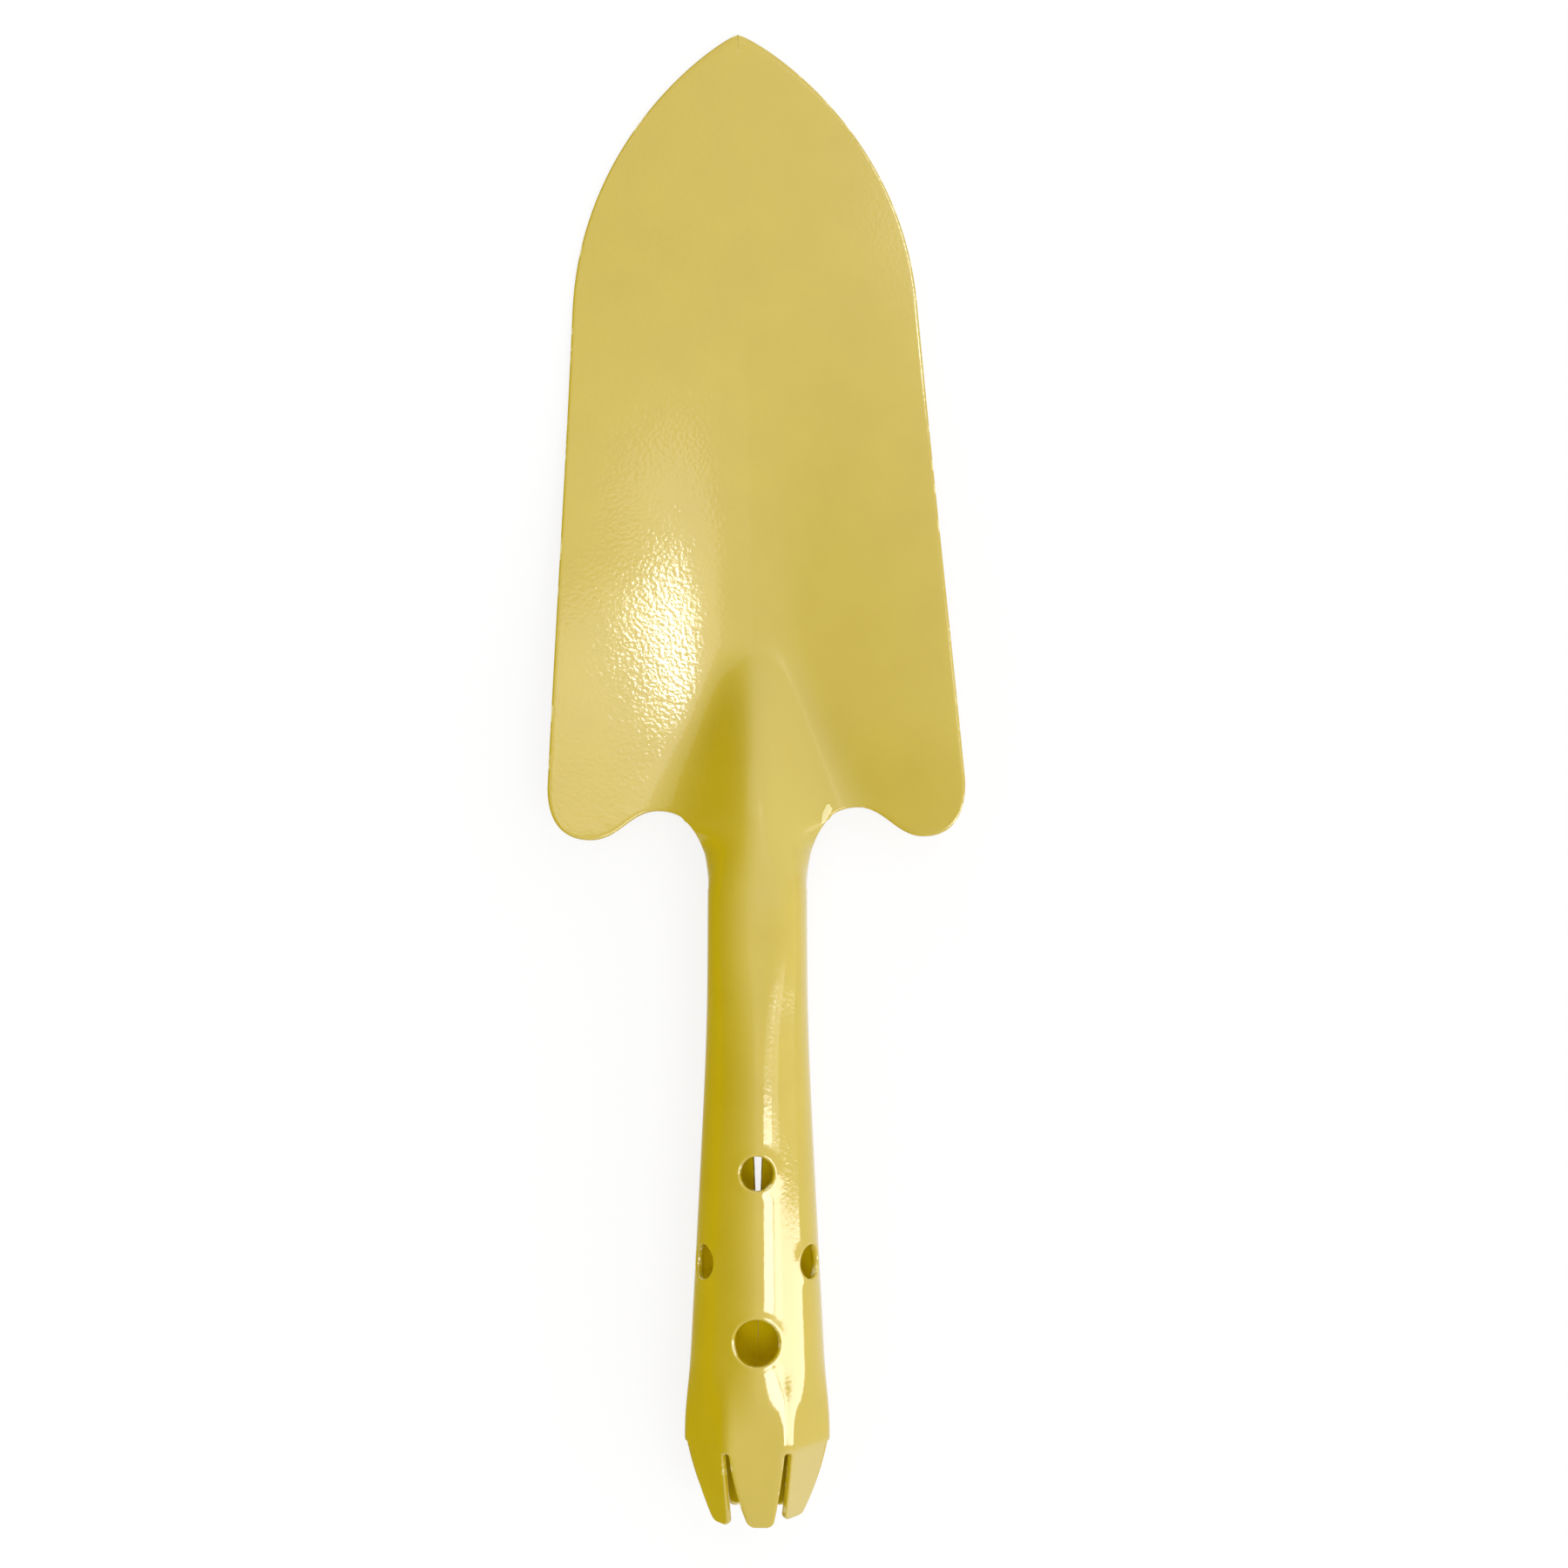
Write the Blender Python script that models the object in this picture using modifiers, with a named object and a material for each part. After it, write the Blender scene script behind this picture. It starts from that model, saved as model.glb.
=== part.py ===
"""A one-piece garden trowel: blade, neck and hollow handle pressed and rolled from one steel sheet.

The real trowel is a single pressing. It is built here region by region, each region its own object,
with a fine gap where one region runs on into the next. All the regions share one set of sizes.

Working frame: X across the blade, Y towards the tip from the blade's widest line, Z up on the hollow
side. At the end everything moves so that the origin is the middle of the bounding box's underside.
"""

import math

import bmesh
import bpy
from mathutils import Matrix, Vector

MM = 0.001

# Sheet
SHEET = 1.2 * MM
REGION_GAP = SHEET / 4

# Blade outline
BLADE_LENGTH = 143.7 * MM
BLADE_WIDTH = 78.0 * MM
ARCH_LENGTH = 52.2 * MM
ARCH_WIDTH = 66.0 * MM
TIP_SLOPE = math.radians(13.5)
ARCH_SIDE_PULL = 34.0 * MM
ARCH_TIP_PULL = 3.8 * MM
SHOULDER_RADIUS = 8.0 * MM
SHOULDER_DROP = 10.1 * MM
NOTCH_SPREAD = 37.4 * MM
NOTCH_SET_BACK = 4.7 * MM
CORNER_PULL = 0.65
WAVE_PULL = 0.42
FLARE_PULL_ACROSS = 0.72
FLARE_PULL_DOWN = 0.58
HEEL_CUT = 6.5 * MM

# Blade form
FLAT_TIP_LENGTH = 33.7 * MM
DISH_FULL_AT = 10.0 * MM
DISH_SLOPE = 0.20
DISH_WALL_START = 7.7 * MM
DISH_ROUNDING = 4.0 * MM
DISH_OPENING = 0.11
DISH_RELAX = 1.35
KEEL_SLOPE = 0.115
KEEL_BEND_LENGTH = 55.0 * MM
BLADE_LEAN = math.radians(1.47)
LEAN_START = 22.0 * MM
LEAN_PIVOT = 9.0 * MM

# Ridge that carries the handle's front into the dish
RIDGE_LENGTH = 34.0 * MM
RIDGE_HEIGHT = 10.0 * MM
RIDGE_TIP_WIDTH = 12.0 * MM
RIDGE_HEEL_WIDTH = 33.0 * MM
RIDGE_EASE = 1.7
RIDGE_FOOT = 0.2
RIDGE_SPREAD_LEFT = 1.85
RIDGE_POWER_LEFT = 5.0
RIDGE_SPREAD_RIGHT = 1.35
RIDGE_POWER_RIGHT = 3.6

# Neck and handle
NECK_RADIUS = 9.2 * MM
NECK_STRAIGHT_AT = 19.6 * MM
NECK_LENGTH = 36.0 * MM
HANDLE_LENGTH = 120.2 * MM
HANDLE_LEVEL_AT = 60.0 * MM
CONE_START = 45.0 * MM
CONE_ROUNDING = 12.0 * MM
END_RADIUS = 13.9 * MM
SEAM_GAP = 0.4 * MM
SEAM_CLOSED_LENGTH = 30.0 * MM
SEAM_TAPER = 0.074

# Flattened front of the neck: how square its section gets, where, and over what length
ROUND = 2.0
NECK_SQUARENESS = 1.0
NECK_SQUAREST_AT = 26.0 * MM
NECK_SQUARE_REACH = 14.0 * MM

# Fingers that close the handle's end
FINGER_COUNT = 7
FINGER_LENGTH = 15.9 * MM
FINGER_TAPER_START = 0.10
FINGER_NARROWING = 6.5
FINGER_CORNER = 1.3 * MM
FINGER_BEND = math.radians(9)
FINGER_CURL = math.radians(14)
SLOT_WIDTH = 1.3 * MM
SLOT_START = 1.2 * MM
FACET_LENGTH = 15.0 * MM
CORNER_ROUNDING = 0.15 * MM

# How far a finger's end stands outward and sideways of the regular pattern, and how much shorter it is
FINGER_SET = {
    "finger_front": (0.0, 0.7 * MM, 0.0),
    "finger_left_side_upper": (0.5 * MM, -0.3 * MM, 0.0),
    "finger_right_side_upper": (0.2 * MM, 0.3 * MM, 1.1 * MM),
}

# Holes in the handle, each set back from the bend at its end
HANGING_HOLE_RADIUS = 4.2 * MM
HANGING_HOLE_AT = 18.8 * MM
SMALL_HOLE_RADIUS = 3.1 * MM
FRONT_HOLE_AT = 49.3 * MM
SIDE_HOLE_AT = 32.4 * MM
SIDE_HOLE_ANGLE = math.radians(60)

# Fineness of the faceted surfaces
ARCH_FLANK = 0.42
ARCH_ROWS = 5
SIDE_ROWS = 22
SIDE_CROWDING = 1.35
CORNER_ROWS = 3
WAVE_COLUMNS = 4
FLARE_COLUMNS = 2
RIDGE_COLUMNS = 16
NECK_ROWS = 11
NECK_CROWDING = 1.3
HANDLE_ROWS = 22
HANDLE_CROWDING = 0.85
FACET_COLUMNS = 4
FINGER_ROWS = 6
FINGER_END_ROWS = 3
FINGER_COLUMNS = 2
HOLE_SIDES = 28
SEARCH_STEPS = 40

ENAMEL_COLOR = (0.68, 0.53, 0.13, 1.0)
ENAMEL_ROUGHNESS = 0.3

FACET_ANGLE = 2 * math.pi / FINGER_COUNT
HALF_SHEET = SHEET / 2


def clear_scene():
    for obj in list(bpy.data.objects):
        bpy.data.objects.remove(obj)


def make_collection(name):
    collection = bpy.data.collections.new(name)
    bpy.context.scene.collection.children.link(collection)
    return collection


def enamel_material(name):
    material = bpy.data.materials.new(name)
    material.use_nodes = True
    shader = material.node_tree.nodes["Principled BSDF"]
    shader.inputs["Base Color"].default_value = ENAMEL_COLOR
    shader.inputs["Roughness"].default_value = ENAMEL_ROUGHNESS
    shader.inputs["Metallic"].default_value = 0.0
    return material


def smooth_step(value, start, end):
    """0 at start, 1 at end, level at both."""
    t = min(max((value - start) / (end - start), 0.0), 1.0)
    return t * t * (3 - 2 * t)


def bezier(points, t):
    a, b, c, d = points
    s = 1 - t
    return a * s**3 + b * 3 * s * s * t + c * 3 * s * t * t + d * t**3


def spread(count):
    """Fractions from 0 to 1, count + 1 of them."""
    return [i / count for i in range(count + 1)]


# Blade outline, right half, in plan


def arch_curve():
    """From the end of the straight side up to the tip."""
    side = Vector((ARCH_WIDTH / 2, BLADE_LENGTH - ARCH_LENGTH))
    tip = Vector((0.0, BLADE_LENGTH))
    along_side = (side - Vector((BLADE_WIDTH / 2, 0.0))).normalized()
    down_edge = Vector((math.cos(TIP_SLOPE), -math.sin(TIP_SLOPE)))
    return side, side + along_side * ARCH_SIDE_PULL, tip + down_edge * ARCH_TIP_PULL, tip


def shoulder_curve():
    """From the widest line round the corner to the shoulder's lowest point."""
    side = Vector((BLADE_WIDTH / 2, 0.0))
    low = Vector((BLADE_WIDTH / 2 - SHOULDER_RADIUS, -SHOULDER_DROP))
    down = Vector((0.0, -SHOULDER_DROP * CORNER_PULL))
    across = Vector((SHOULDER_RADIUS * CORNER_PULL, 0.0))
    return side, side + down, low + across, low


def wave_curve():
    """From the shoulder's lowest point up to the top of the notch."""
    low = Vector((BLADE_WIDTH / 2 - SHOULDER_RADIUS, -SHOULDER_DROP))
    notch = Vector((NOTCH_SPREAD / 2, -NOTCH_SET_BACK))
    pull = Vector(((low - notch).x * WAVE_PULL, 0.0))
    return low, low - pull, notch + pull, notch


def notch_curve():
    """From the top of the notch down the flare to the neck's straight side."""
    notch = Vector((NOTCH_SPREAD / 2, -NOTCH_SET_BACK))
    neck = Vector((NECK_RADIUS, -NECK_STRAIGHT_AT))
    across = Vector(((notch - neck).x * FLARE_PULL_ACROSS, 0.0))
    down = Vector((0.0, (notch - neck).y * FLARE_PULL_DOWN))
    return notch, notch - across, neck + down, neck


def flare_share(y):
    """How far along the notch curve it has come down to y."""
    low, high = 0.0, 1.0
    for _ in range(SEARCH_STEPS):
        middle = (low + high) / 2
        if bezier(notch_curve(), middle).y > y:
            low = middle
        else:
            high = middle
    return low


def flare_half_width(y):
    """Half the neck's width at y, read from the notch curve."""
    if y <= -NECK_STRAIGHT_AT:
        return tube_radius(y)
    return bezier(notch_curve(), flare_share(y)).x


def heel_line():
    """The heel from the corner's middle inwards to the ridge's middle, in plan."""
    corner = [bezier(shoulder_curve(), 0.5 + 0.5 * t) for t in spread(CORNER_ROWS)]
    wave = [bezier(wave_curve(), t) for t in spread(WAVE_COLUMNS)][1:]
    cut_share = flare_share(-HEEL_CUT)
    flare = [bezier(notch_curve(), cut_share * t) for t in spread(FLARE_COLUMNS)][1:-1]
    cut_end = Vector((flare_half_width(-HEEL_CUT), -HEEL_CUT))
    cut = [Vector((cut_end.x * (1 - t), -HEEL_CUT)) for t in spread(RIDGE_COLUMNS // 2)]
    return corner + wave + flare + cut


def tip_line(count):
    """The arch from its flank up to the tip, in count steps."""
    return [bezier(arch_curve(), ARCH_FLANK + (1 - ARCH_FLANK) * t) for t in spread(count)]


def side_line():
    """From the arch's flank down the straight side to the middle of the shoulder's corner."""
    arch = [bezier(arch_curve(), ARCH_FLANK * (1 - t)) for t in spread(ARCH_ROWS)]
    side_top = arch[-1]
    side_end = Vector((BLADE_WIDTH / 2, 0.0))
    straight = [side_top.lerp(side_end, 1 - (1 - t) ** SIDE_CROWDING) for t in spread(SIDE_ROWS)][1:]
    corner = [bezier(shoulder_curve(), 0.5 * t) for t in spread(CORNER_ROWS)][1:]
    return arch + straight + corner


# Blade height


def keel_height(y):
    """Rise of the sheet's middle along the blade's centre line: level at the tip, then an even slope."""
    bend_start = BLADE_LENGTH - FLAT_TIP_LENGTH - DISH_FULL_AT
    distance = bend_start - y
    if distance <= 0:
        return HALF_SHEET
    if distance < KEEL_BEND_LENGTH:
        return HALF_SHEET + KEEL_SLOPE * distance**2 / (2 * KEEL_BEND_LENGTH)
    return HALF_SHEET + KEEL_SLOPE * (distance - KEEL_BEND_LENGTH / 2)


def dish_height(x, y):
    """Rise of the dish's walls beside the centre line."""
    dish_start = BLADE_LENGTH - FLAT_TIP_LENGTH
    share = smooth_step(dish_start - y, 0.0, dish_start - DISH_FULL_AT)
    rounding = DISH_ROUNDING + DISH_OPENING * max(y - RIDGE_LENGTH, 0.0)

    def climbed(across):
        past = across - DISH_WALL_START
        return (past + math.hypot(past, rounding)) / 2

    wall = DISH_SLOPE * (climbed(abs(x)) - climbed(0.0))
    return share * (wall - DISH_RELAX * x * x)


def ridge_height(x, y):
    """Rise of the ridge, a rounded hump that widens and climbs towards the heel."""
    reach = RIDGE_LENGTH - HEEL_CUT - y
    t = max(reach / RIDGE_LENGTH, 0.0)
    t = (math.hypot(t, RIDGE_FOOT) - RIDGE_FOOT) / (math.hypot(1.0, RIDGE_FOOT) - RIDGE_FOOT)
    height = RIDGE_HEIGHT * (1 - (1 - min(t, 1.0)) ** RIDGE_EASE)
    half_width = (RIDGE_TIP_WIDTH + (RIDGE_HEEL_WIDTH - RIDGE_TIP_WIDTH) * t) / 2
    spread_out, power = RIDGE_SPREAD_RIGHT, RIDGE_POWER_RIGHT
    if x < 0:
        spread_out, power = RIDGE_SPREAD_LEFT, RIDGE_POWER_LEFT
    u = abs(x) / (half_width * spread_out)
    if u >= 1:
        return 0.0
    return height * math.cos(math.pi * u / 2) ** power


def blade_height(x, y):
    return keel_height(y) + dish_height(x, y) + ridge_height(x, y)


def lean(point):
    """Turns the blade a little in its own plane, as the photographed trowel's is."""
    angle = BLADE_LEAN * smooth_step(point.y, -LEAN_START, LEAN_START - 2 * LEAN_PIVOT)
    pivot = Vector((0.0, -LEAN_PIVOT, 0.0))
    return Matrix.Rotation(angle, 3, "Z") @ (point - pivot) + pivot


# Handle sections


def tube_radius(y):
    """Outer radius of the rolled handle: even at the neck, then a cone up to the bend at the end."""
    def grown(distance):
        return (distance + math.hypot(distance, CONE_ROUNDING)) / 2

    flat_to_round = math.cos(FACET_ANGLE / 2)
    end = END_RADIUS * (1 + flat_to_round) / 2
    slope = (end - NECK_RADIUS) / grown(HANDLE_LENGTH - CONE_START)
    return NECK_RADIUS + slope * grown(-y - CONE_START)


def facet_share(y):
    """0 where the tube is round, 1 where its end has a flat for each finger."""
    return smooth_step(-y, HANDLE_LENGTH - FACET_LENGTH, HANDLE_LENGTH - REGION_GAP)


def facet_offset(angle):
    """Angle from the middle of the nearest flat. One flat faces the front."""
    return (angle + FACET_ANGLE / 2) % FACET_ANGLE - FACET_ANGLE / 2


def end_inset(distance):
    """How far in the wall has come at a distance past the bend at the handle's end."""
    t = min(distance / FINGER_LENGTH, 1.0)
    return distance * math.tan(FINGER_BEND + FINGER_CURL * t / 2)


def front_fullness(angle, y):
    """How far the flattened front of the neck stands outside a round section, as a ratio."""
    if abs(angle) >= math.pi / 2:
        return 1.0
    away = (-y - NECK_SQUAREST_AT) / NECK_SQUARE_REACH
    power = ROUND + NECK_SQUARENESS * math.exp(-away * away)
    return (abs(math.sin(angle)) ** power + math.cos(angle) ** power) ** (-1 / power)


def section_radius(angle, y):
    """Outer radius of the tube at an angle from its front."""
    apothem = END_RADIUS * math.cos(FACET_ANGLE / 2)
    flat = apothem / math.cos(facet_offset(angle))
    capped = min(flat, END_RADIUS - CORNER_ROUNDING)
    share = facet_share(y)
    rolled = tube_radius(max(y, -HANDLE_LENGTH)) * front_fullness(angle, y)
    radius = rolled * (1 - share) + capped * share
    return radius - end_inset(max(-HANDLE_LENGTH - y, 0.0))


def handle_axis_height(y):
    """Height of the tube's axis: level along the grip, dipping to meet the ridge at the neck."""
    grip = END_RADIUS - CORNER_ROUNDING
    heel = blade_height(0.0, -HEEL_CUT) - NECK_RADIUS + HALF_SHEET
    span = HANDLE_LEVEL_AT - HEEL_CUT
    t = min(max((-HEEL_CUT - y) / span, 0.0), 1.0)
    start_slope = KEEL_SLOPE * span
    return heel + start_slope * (t**3 - 2 * t**2 + t) + (grip - heel) * (3 * t**2 - 2 * t**3)


def seam_half_gap(y):
    """Half the open seam at the back: wide at the neck, closing towards the handle's end."""
    open_from = HANDLE_LENGTH - SEAM_CLOSED_LENGTH
    return (SEAM_GAP + SEAM_TAPER * max(open_from + y, 0.0)) / 2


def tube_point(share, y):
    """A point of the sheet's middle. share runs from -1 to 1 round from seam edge to seam edge."""
    middle_radius = tube_radius(y) - HALF_SHEET
    last = math.pi - math.asin(seam_half_gap(y) / middle_radius)
    angle = share * last
    radius = section_radius(angle, y) - HALF_SHEET
    return Vector((radius * math.sin(angle), y, handle_axis_height(y) + radius * math.cos(angle)))


def widest_of(line):
    """The greatest x along a smooth line of points, read between them."""
    i = max(range(len(line)), key=lambda k: line[k][0])
    if i == len(line) - 1:
        return line[i][0]
    before, here, after = line[i - 1][0], line[i][0], line[i + 1][0]
    bend = before - 2 * here + after
    return here - (after - before) ** 2 / (8 * bend) if bend else here


def neck_side(y, side, count):
    """Half a section of the neck, crest to edge: the ridge's hump rolling over into the tube."""
    rolled = smooth_step(-y, HEEL_CUT, NECK_STRAIGHT_AT)
    half_width = flare_half_width(y) - HALF_SHEET * rolled
    tube = [tube_point(side * i / count, y) for i in range(count + 1)]
    if rolled >= 1:
        return tube
    line = [(0.0, 0.0)]
    for i in range(count):
        near, far = half_width * i / count, half_width * (i + 1) / count
        fall = blade_height(side * far, y) - blade_height(side * near, y)
        away = side * (tube[i + 1].x - tube[i].x)
        drop = tube[i + 1].z - tube[i].z
        slope = math.atan2(fall, far - near) * (1 - rolled) + math.atan2(drop, away) * rolled
        length = math.hypot(far - near, fall) * (1 - rolled) + math.hypot(away, drop) * rolled
        x, z = line[-1]
        line.append((x + length * math.cos(slope), z + length * math.sin(slope)))
    grown = half_width / widest_of(line)
    crest = blade_height(0.0, y) * (1 - rolled) + tube[0].z * rolled
    return [Vector((side * x * grown, y, crest + z * grown)) for x, z in line]


def neck_row(y, columns):
    """One section of the neck, as wide as the notch curve says, from left edge to right edge."""
    left = neck_side(y, -1, columns // 2)
    return left[:0:-1] + neck_side(y, 1, columns // 2)


# Solids


def sheet_solid(name, rows, collection, parent):
    """A sheet lofted through rows of points, given its thickness on both sides of them."""
    mesh = bpy.data.meshes.new(name)
    shape = bmesh.new()
    grid = [[shape.verts.new(point) for point in row] for row in rows]
    for above, below in zip(grid, grid[1:]):
        for i in range(len(above) - 1):
            shape.faces.new((above[i], below[i], below[i + 1], above[i + 1]))
    shape.to_mesh(mesh)
    shape.free()
    mesh.shade_smooth()
    obj = bpy.data.objects.new(name, mesh)
    collection.objects.link(obj)
    obj.parent = parent
    obj.data.materials.append(enamel_material(name + "_enamel"))
    solidify = obj.modifiers.new("thickness", "SOLIDIFY")
    solidify.thickness = SHEET
    solidify.offset = 0.0
    solidify.use_even_offset = True
    return obj


def mirrored(line):
    """The whole line from its right half, left end first."""
    return [Vector((-point.x, point.y)) for point in line] + list(reversed(line[:-1]))


def make_blade(collection, parent):
    """A patch stretched between the arch, the two sides and the heel, lifted to its height."""
    heel = heel_line()
    top = mirrored(tip_line(len(heel) - 1))
    bottom = mirrored(heel)
    right = side_line()
    left = [Vector((-point.x, point.y)) for point in right]
    rows = []
    for j, v in enumerate(spread(len(right) - 1)):
        row = []
        for i, u in enumerate(spread(len(top) - 1)):
            between = top[i] * (1 - v) + bottom[i] * v + left[j] * (1 - u) + right[j] * u
            corners = (top[0] * (1 - u) + top[-1] * u) * (1 - v) + (bottom[0] * (1 - u) + bottom[-1] * u) * v
            spot = between - corners
            row.append(lean(Vector((spot.x, spot.y, blade_height(spot.x, spot.y)))))
        rows.append(row)
    return sheet_solid("blade", rows, collection, parent)


def make_neck(collection, parent):
    columns = FINGER_COUNT * FACET_COLUMNS
    start = HEEL_CUT + REGION_GAP
    stations = [start + (NECK_LENGTH - start) * t**NECK_CROWDING for t in spread(NECK_ROWS)]
    rows = [[lean(point) for point in neck_row(-station, columns)] for station in stations]
    return sheet_solid("neck", rows, collection, parent)


def make_handle_tube(collection, parent):
    shares = [2 * t - 1 for t in spread(FINGER_COUNT * FACET_COLUMNS)]
    start = NECK_LENGTH + REGION_GAP
    stations = [start + (HANDLE_LENGTH - start) * t**HANDLE_CROWDING for t in spread(HANDLE_ROWS)]
    stations.append(HANDLE_LENGTH + SLOT_START)
    rows = [[tube_point(share, -station) for share in shares] for station in stations]
    return sheet_solid("handle_tube", rows, collection, parent)


def cut_hole(obj, name, radius, set_back, angle, collection, parent):
    """A round hole through one wall of the tube, at an angle from its front."""
    y = set_back - HANDLE_LENGTH
    wall = tube_radius(y)
    mesh = bpy.data.meshes.new(name)
    shape = bmesh.new()
    bmesh.ops.create_cone(
        shape, cap_ends=True, segments=HOLE_SIDES, radius1=radius, radius2=radius, depth=wall
    )
    shape.to_mesh(mesh)
    shape.free()
    cutter = bpy.data.objects.new(name, mesh)
    collection.objects.link(cutter)
    cutter.parent = parent
    outward = Vector((math.sin(angle), 0.0, math.cos(angle)))
    cutter.location = Vector((0.0, y, handle_axis_height(y))) + outward * wall
    cutter.rotation_euler = (0.0, angle, 0.0)
    cutter.hide_render = True
    cutter.display_type = "WIRE"
    boolean = obj.modifiers.new(name, "BOOLEAN")
    boolean.operation = "DIFFERENCE"
    boolean.solver = "EXACT"
    boolean.object = cutter


def finger_half_width(distance, length):
    """Half a finger's width at a distance from its root: tapering, with rounded corners at the end."""
    root = END_RADIUS * math.sin(FACET_ANGLE / 2) - SLOT_WIDTH / 2 - HALF_SHEET * math.tan(FACET_ANGLE / 2)
    width = root - FINGER_TAPER_START * distance - FINGER_NARROWING * distance**2
    into_corner = distance - (length - FINGER_CORNER)
    if into_corner > 0:
        width -= FINGER_CORNER - math.sqrt(max(FINGER_CORNER**2 - into_corner**2, 0.0))
    return width


def make_finger(name, angle, collection, parent):
    """One finger, a tapering tab that bends in from its flat on the tube's end."""
    stands_out, sideways, shorter = FINGER_SET.get(name, (0.0, 0.0, 0.0))
    root = SLOT_START + REGION_GAP
    length = FINGER_LENGTH - root - shorter
    straight = length - FINGER_CORNER
    turns = [t * math.pi / 2 for t in spread(FINGER_END_ROWS)][1:]
    distances = [straight * t for t in spread(FINGER_ROWS)]
    distances += [straight + FINGER_CORNER * math.sin(turn) for turn in turns]
    outward = Vector((math.sin(angle), 0.0, math.cos(angle)))
    across = Vector((math.cos(angle), 0.0, -math.sin(angle)))
    apothem = END_RADIUS * math.cos(FACET_ANGLE / 2) - HALF_SHEET
    rows = []
    for distance in distances:
        past_bend = root + distance
        y = -HANDLE_LENGTH - past_bend
        swing = (distance / length) ** 2
        middle = Vector((0.0, y, handle_axis_height(y)))
        middle += outward * (apothem - end_inset(past_bend) + stands_out * swing)
        middle += across * sideways * swing
        half_width = finger_half_width(distance, length)
        rows.append([middle + across * (half_width * (2 * t - 1)) for t in spread(FINGER_COLUMNS)])
    return sheet_solid(name, rows, collection, parent)


def finger_names():
    """Names from the front finger round both sides to the back."""
    sides = ["side_upper", "side_lower", "back"]
    named = [("finger_front", 0)]
    for step, place in enumerate(sides[: FINGER_COUNT // 2], start=1):
        named.append((f"finger_left_{place}", -step))
        named.append((f"finger_right_{place}", step))
    return named


def rest_on_origin(objects, parent):
    """Moves everything so that the bounding box's underside has its middle at the origin."""
    bpy.context.view_layer.update()
    graph = bpy.context.evaluated_depsgraph_get()
    corners = []
    for obj in objects:
        evaluated = obj.evaluated_get(graph)
        mesh = evaluated.to_mesh()
        corners += [evaluated.matrix_world @ vertex.co for vertex in mesh.vertices]
        evaluated.to_mesh_clear()
    lowest = Vector([min(corner[axis] for corner in corners) for axis in range(3)])
    highest = Vector([max(corner[axis] for corner in corners) for axis in range(3)])
    middle = (lowest + highest) / 2
    parent.location = (-middle.x, -middle.y, -lowest.z)


def main():
    clear_scene()
    trowel = make_collection("garden_trowel")
    cutters = make_collection("hole_cutters")
    frame = bpy.data.objects.new("trowel_frame", None)
    trowel.objects.link(frame)

    blade = make_blade(trowel, frame)
    neck = make_neck(trowel, frame)
    tube = make_handle_tube(trowel, frame)
    cut_hole(tube, "hanging_hole", HANGING_HOLE_RADIUS, HANGING_HOLE_AT, 0.0, cutters, frame)
    cut_hole(tube, "front_hole", SMALL_HOLE_RADIUS, FRONT_HOLE_AT, 0.0, cutters, frame)
    cut_hole(tube, "left_hole", SMALL_HOLE_RADIUS, SIDE_HOLE_AT, -SIDE_HOLE_ANGLE, cutters, frame)
    cut_hole(tube, "right_hole", SMALL_HOLE_RADIUS, SIDE_HOLE_AT, SIDE_HOLE_ANGLE, cutters, frame)
    fingers = [make_finger(name, step * FACET_ANGLE, trowel, frame) for name, step in finger_names()]
    rest_on_origin([blade, neck, tube] + fingers, frame)


main()
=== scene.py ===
"""Looks of the one-piece garden trowel: one unbroken skin of enamelled steel, with floor, lights and camera.

The CAD model holds the pressing as ten regions. Here the same sizes make a single closed skin, which
stands for all ten. Only the seam at the back is tighter, because its edges are rounded here. Working frame
as in the CAD: X across the blade, Y towards the tip from the blade's widest line, Z up on the hollow side.
"""

import math

import bpy
import numpy as np
from mathutils import Matrix, Vector

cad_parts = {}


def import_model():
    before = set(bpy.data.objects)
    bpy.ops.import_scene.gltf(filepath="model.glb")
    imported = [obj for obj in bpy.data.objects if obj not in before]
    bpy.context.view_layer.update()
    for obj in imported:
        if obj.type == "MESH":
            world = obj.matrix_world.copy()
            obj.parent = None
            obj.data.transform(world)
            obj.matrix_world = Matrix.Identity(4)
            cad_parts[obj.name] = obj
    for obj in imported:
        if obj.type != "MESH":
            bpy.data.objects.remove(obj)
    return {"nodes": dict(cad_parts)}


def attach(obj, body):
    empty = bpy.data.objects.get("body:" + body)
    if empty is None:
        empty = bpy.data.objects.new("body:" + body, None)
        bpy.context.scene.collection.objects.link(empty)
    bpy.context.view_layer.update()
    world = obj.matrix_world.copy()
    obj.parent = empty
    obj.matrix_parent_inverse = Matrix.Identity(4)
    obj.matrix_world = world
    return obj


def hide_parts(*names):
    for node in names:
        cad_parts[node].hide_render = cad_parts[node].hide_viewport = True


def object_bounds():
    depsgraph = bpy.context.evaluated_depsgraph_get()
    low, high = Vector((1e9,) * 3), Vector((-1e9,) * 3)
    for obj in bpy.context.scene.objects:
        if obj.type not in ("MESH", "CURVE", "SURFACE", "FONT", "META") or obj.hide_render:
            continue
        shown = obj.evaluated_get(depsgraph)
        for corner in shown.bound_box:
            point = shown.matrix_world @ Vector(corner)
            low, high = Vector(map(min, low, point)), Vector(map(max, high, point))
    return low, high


MM = 0.001

# Sheet
SHEET = 1.2 * MM
EDGE_RADIUS = 0.38 * MM

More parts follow.
